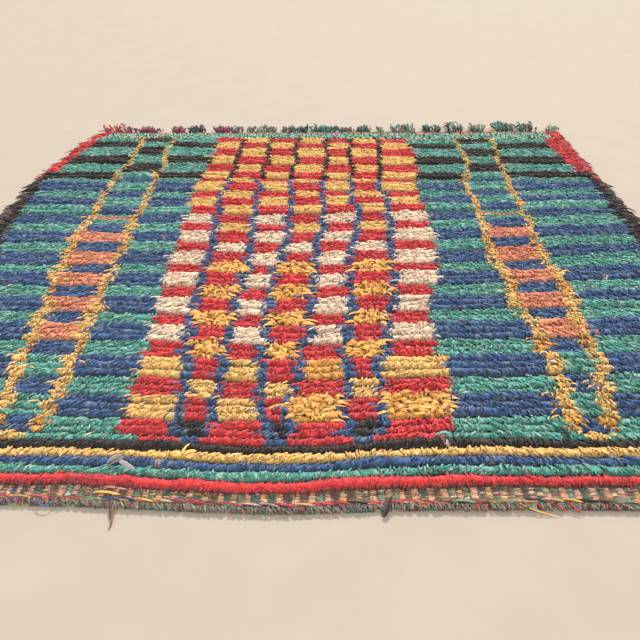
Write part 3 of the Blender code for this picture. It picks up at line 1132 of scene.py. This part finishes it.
tassels = {
    "root": 1.787,
    "furthest": 1.880,
    "strandsPerMetre": 480,
    # each tassel from its left to its right side, how long it is as a share, and its dyes
    "clumps": (
        (-0.765, -0.665, 1.00, "magenta magenta deepRed pink purple"),
        (-0.655, -0.570, 0.70, "magenta deepRed purple"),
        (-0.530, -0.485, 0.85, "purple magenta"),
        (-0.470, -0.405, 1.00, "navy purple black"),
        (-0.370, -0.315, 0.95, "purple brown magenta"),
        (-0.307, -0.267, 0.75, "brown grey maroon"),
        (-0.255, -0.135, 0.80, "grey deepGreen sage brown"),
        (-0.118, -0.068, 0.75, "maroon deepGreen brown"),
        (-0.066, 0.072, 0.90, "deepGreen deepGreen teal black"),
        (0.078, 0.146, 0.65, "brown deepGreen maroon"),
        (0.154, 0.205, 0.75, "black brown deepGreen sage"),
        (0.232, 0.254, 0.70, "sage brown deepGreen"),
        (0.278, 0.372, 1.05, "teal grey sage brown"),
        (0.396, 0.462, 0.90, "deepGreen teal brown black"),
        (0.486, 0.548, 1.10, "teal sage grey maroon"),
        (0.570, 0.634, 0.90, "teal brown rose sage"),
        (0.668, 0.735, 1.20, "deepGreen teal brown"),
        (0.752, 0.818, 1.10, "teal grey deepGreen brown"),
        (0.846, 0.880, 0.80, "deepGreen sage black"),
    ),
    "cornerFan": 0.040,  # the tassels at the corners spread past the cloth
    "rise": (0.018, 0.041),
    "shade": 0.66,
}


def makeTassels():
    bends, names, widths = [], [], []
    for left, right, share, palette in tassels["clumps"]:
        for _ in range(int(max(right - left, 0.03) * tassels["strandsPerMetre"])):
            x = uniform(left + 0.006, right - 0.006)
            middle = 2 * (x - left) / (right - left) - 1
            length = (tassels["furthest"] - tassels["root"]) * share
            reach = length * (1 - 0.35 * middle ** 2) * uniform(0.35, 1.0)
            fan = 0.004 * middle + jitter(0.007)
            if left < -0.7 or left > 0.84:
                fan += math.copysign(uniform(0, tassels["cornerFan"]), left)
            rise = uniform(*tassels["rise"], 2) * (0.4 + 0.6 * share)
            curl = jitter(0.011, 2)
            root = tassels["root"] - uniform(0.0, 0.010)
            bends.append(curve(
                (x, root, 0.005),
                (x + fan * 0.4 + curl[0], root + reach * uniform(0.0, 0.4), rise[0]),
                (x + fan * 0.8 + curl[1], root + reach * uniform(0.5, 0.9), rise[1]),
                (x + fan, root + reach, uniform(0.003, 0.55 * rise[1])),
            ))
            names.append(picked(palette))
            widths.append(uniform(0.0022, 0.0048))
    bends, widths = np.array(bends), np.array(widths)
    count = len(bends)
    flats = vectors(1.0, jitter(0.3, count), jitter(0.5, count))
    twist = jitter(1.3, count)
    print("tassels", count, "strands")
    return lockPiece(
        "tassels", (looseRag, "tassel_yarn", "far_tassels"), bends, widths, widths * 0.55, flats,
        dyed(names, 0.34) * tassels["shade"], profile=(0.8, 1.0, 1.0, 0.8), twist=twist,
    )


tasselPiece = makeTassels()

# A few loose ends: the satin rag in the border, and threads that have worked free

looseEnds = (
    # dye, half width, half thickness, then four places as x, distance from the hem and height in millimetres
    ("yellow", 0.0030, 0.0013, (-198, 92, 22), (-199, 96, 29), (-194, 102, 33), (-188, 110, 31)),
    ("yellow", 0.0026, 0.0012, (-198, 92, 22), (-192, 94, 29), (-184, 95, 32), (-176, 96, 28)),
    ("black", 0.0030, 0.0012, (385, 150, 22), (385, 140, 32), (388, 128, 32), (392, 116, 26)),
    ("pink", 0.0018, 0.0013, (-312, 31, 8), (-300, 33.5, 10.5), (-284, 31.5, 10.5), (-268, 29, 8)),
    ("ochre", 0.0018, 0.0013, (-320, 21.5, 8), (-306, 23.5, 10.5), (-290, 21, 10.5), (-276, 19, 8)),
    ("brown", 0.0020, 0.0015, (-281, 8, 10), (-285, -12, 10), (-275, -22, 3), (-281, -40, 2.5)),
    ("maroon", 0.0014, 0.0011, (-292, 10, 12), (-284, -6, 13), (-286, -14, 6), (-280, -26, 2.2)),
    ("blue", 0.0013, 0.0011, (-395, 6, 12), (-385, -10, 12), (-372, -14, 10), (-366, 4, 11)),
    ("orange", 0.0040, 0.0016, (848, 1785, 12), (862, 1792, 34), (868, 1812, 38), (884, 1834, 24)),
    ("yellow", 0.0034, 0.0014, (-730, 1785, 12), (-745, 1800, 30), (-765, 1830, 34), (-778, 1872, 28)),
    ("pink", 0.0034, 0.0014, (-735, 1780, 12), (-752, 1790, 26), (-770, 1815, 30), (-785, 1850, 20)),
    ("black", 0.0046, 0.0020, (108, 20, 12), (106, 8, 20), (100, -6, 12), (94, -14, 4)),
    ("ochre", 0.0009, 0.0008, (282, 6, 12), (300, -6, 9), (320, -10, 4), (342, -12, 1.5)),
    ("red", 0.0010, 0.0009, (352, 8, 12), (356, 0, 13), (366, -6, 9), (372, -10, 4)),
)


def makeLooseEnds():
    names, widths, thicks, *spots = zip(*looseEnds)
    return lockPiece(
        "loose_ends", (looseRag, "tassel_yarn"), curve(*(np.transpose(spot) / 1000 for spot in spots)),
        widths, thicks, (0.7, 0.3, 0.6), dyed(names), around=6, steps=12, profile=(0.8, 1.0, 1.0, 0.95, 0.9),
    )


satin = {
    "nearer": 0.006,
    # two folds of the rag and the strip on it, each by four places from its middle, in millimetres
    "bends": (
        ((-20, -8, 0), (-14, 0, 4), (-7, 6, 4), (-2, 12, 1)),
        ((-16, -10, 0), (-8, -4, 3), (-2, 2, 3), (2, 8, 1)),
        ((-6, 2, 1), (2, -5, 4), (12, -13, 3), (26, -20, 1)),
    ),
    "halfWidths": (0.0062, 0.0050, 0.0044),
    "halfThicks": (0.0014, 0.0012, 0.0012),
    "flats": ((0.3, -1.0, 0.2), (0.3, -1.0, 0.1), (0.45, 0.9, 0.1)),
    "colours": ((84, 75, 69), (74, 66, 62), (118, 112, 120)),
}


def makeSatinRag():
    # the loose rag: a folded brown-grey piece with a paler satin strip on it
    low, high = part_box("grey_rag")
    middle = ((low[0] + high[0]) / 2, (low[1] + high[1]) / 2 - satin["nearer"], low[2])
    return lockPiece(
        "satin_rag", (satinRag, "satin_rag", "grey_rag"), np.divide(satin["bends"], 1000) + middle,
        satin["halfWidths"], satin["halfThicks"], satin["flats"], linear(satin["colours"]),
        around=8, steps=12, profile=(0.55, 0.85, 1.0, 0.9, 0.8),
    )


looseEndPiece = makeLooseEnds()
satinPiece = makeSatinRag()
print("loose ends made")

# Floor, light and camera

studio = {
    "floor": (158, 147, 135),
    "lens": 662.0,  # focal length in pixels of the picture
    "picture": 640.0,
    "horizon": -95.0,  # row of pixels where the floor would meet the sky
    "eyeHeight": 0.7202,
    "eyeToHem": 0.649,
    "sideShift": 5.0 / 640.0,
    "lights": (
        # tilt back from straight down, turn, power, angular size
        ("key", -38.0, -14.0, 3.3, 6.0),
        ("fill", 48.0, 14.0, 3.0, 25.0),
    ),
    "sunColour": (1.0, 0.965, 0.91),
    "skyColour": (1.0, 0.985, 0.96, 1.0),
    "skyPower": 0.84,
}


def makeFloor():
    bm = bmesh.new()
    bmesh.ops.create_grid(bm, x_segments=1, y_segments=1, size=9.0)
    floor = objectFrom(bm, "floor")
    material, tree, shader = cloth("floor", roughness=0.75, sheen=0.0)
    where = addNode(tree, "TexCoord").outputs["Object"]
    base = linear(studio["floor"])
    share = spreadOut(tree, noise(tree, where, 7.0, 4.0), 0.35, 0.7)
    give(tree, shader, Base_Color=mixed(tree, share, (*(base * 0.95), 1.0), (*base, 1.0)))
    floor.data.materials.append(material)


def makeLight():
    world = bpy.data.worlds.new("studio")
    bpy.context.scene.world = world
    world.use_nodes = True
    sky = world.node_tree.nodes["Background"]
    give(world.node_tree, sky, Color=studio["skyColour"], Strength=studio["skyPower"])
    for name, tilt, turn, power, size in studio["lights"]:
        sun = bpy.data.lights.new(name, "SUN")
        sun.energy = power
        sun.angle = math.radians(size)
        sun.color = studio["sunColour"]
        addObject(name, sun).rotation_euler = (math.radians(tilt), 0, math.radians(turn))


def makeCamera():
    camera = bpy.data.cameras.new("camera")
    camera.sensor_width = 36.0
    camera.lens = 36.0 * studio["lens"] / studio["picture"]
    camera.shift_x = studio["sideShift"]
    camera.clip_end = 50
    eye = addObject("camera", camera)
    down = math.atan((studio["picture"] / 2 - studio["horizon"]) / studio["lens"])
    hem = rug["centring"][1] - rug["length"] / 2
    eye.location = (rug["centring"][0], hem - studio["eyeToHem"], studio["eyeHeight"])
    eye.rotation_euler = (math.pi / 2 - down, 0, 0)
    bpy.context.scene.camera = eye


makeFloor()
makeLight()
makeCamera()
bpy.context.scene.view_settings.view_transform = "Standard"
meshes = [piece.data for piece in bpy.data.objects if piece.type == "MESH"]
triangles = [sum(len(face.vertices) - 2 for face in mesh.polygons) for mesh in meshes]
print("triangles of what is added", sum(triangles), "most", max(triangles))
print("stage set")
